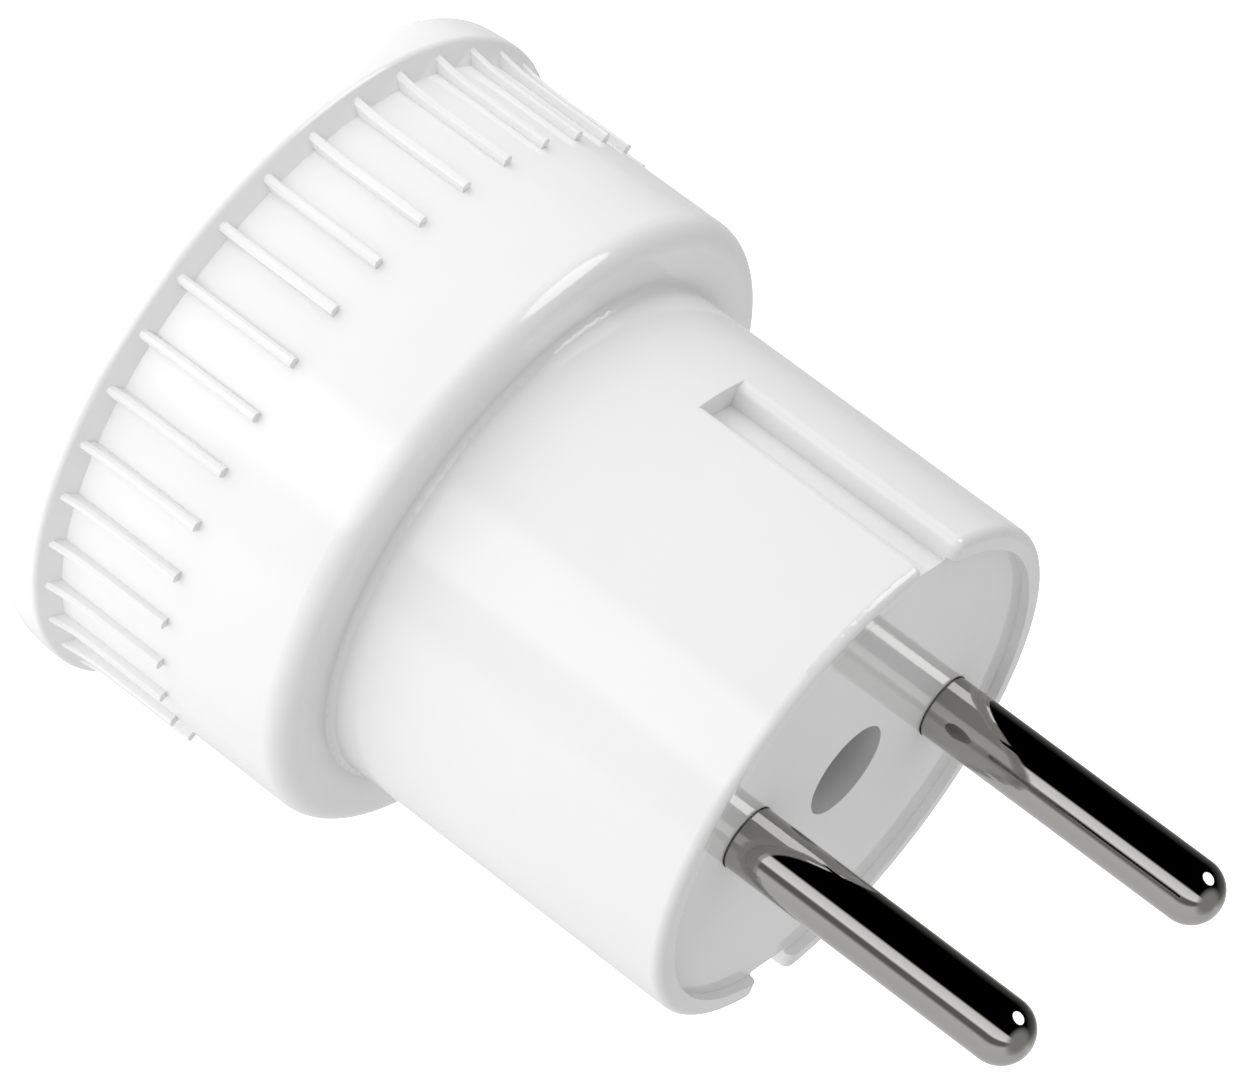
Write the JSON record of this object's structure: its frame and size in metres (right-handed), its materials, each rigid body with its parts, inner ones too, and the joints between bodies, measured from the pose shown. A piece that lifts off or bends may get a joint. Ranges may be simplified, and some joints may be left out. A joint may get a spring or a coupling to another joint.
{
  "type": "multi-socket plug adapter",
  "caption": "Round white mains adapter: a round-pin plug body with earth-clip grooves, a wider ribbed socket head with a flange, and unearthed sockets on its far face.",
  "frame": {"origin": "centre of the socket face, which is the lowest plane", "axes": "+Z from the socket face towards the pin tips, X through both pins, Y through both earth-clip grooves"},
  "size_m": [0.044, 0.044, 0.0644],
  "materials": {
    "housing_plastic": "gloss",
    "plate_plastic": "gloss",
    "pin_metal": "bright nickel plate",
    "contact_brass": "satin",
    "screw_steel": "zinc plate"
  },
  "bodies": {
    "root": {"housing": "housing_plastic", "socket_plate": "plate_plastic", "pin_line": "pin_metal", "pin_neutral": "pin_metal", "strip_line": "contact_brass", "strip_neutral": "contact_brass", "sleeve_line_upper": "contact_brass", "sleeve_line_lower": "contact_brass", "sleeve_neutral_upper": "contact_brass", "sleeve_neutral_lower": "contact_brass", "assembly_screw": "screw_steel"}
  },
  "joints": []
}
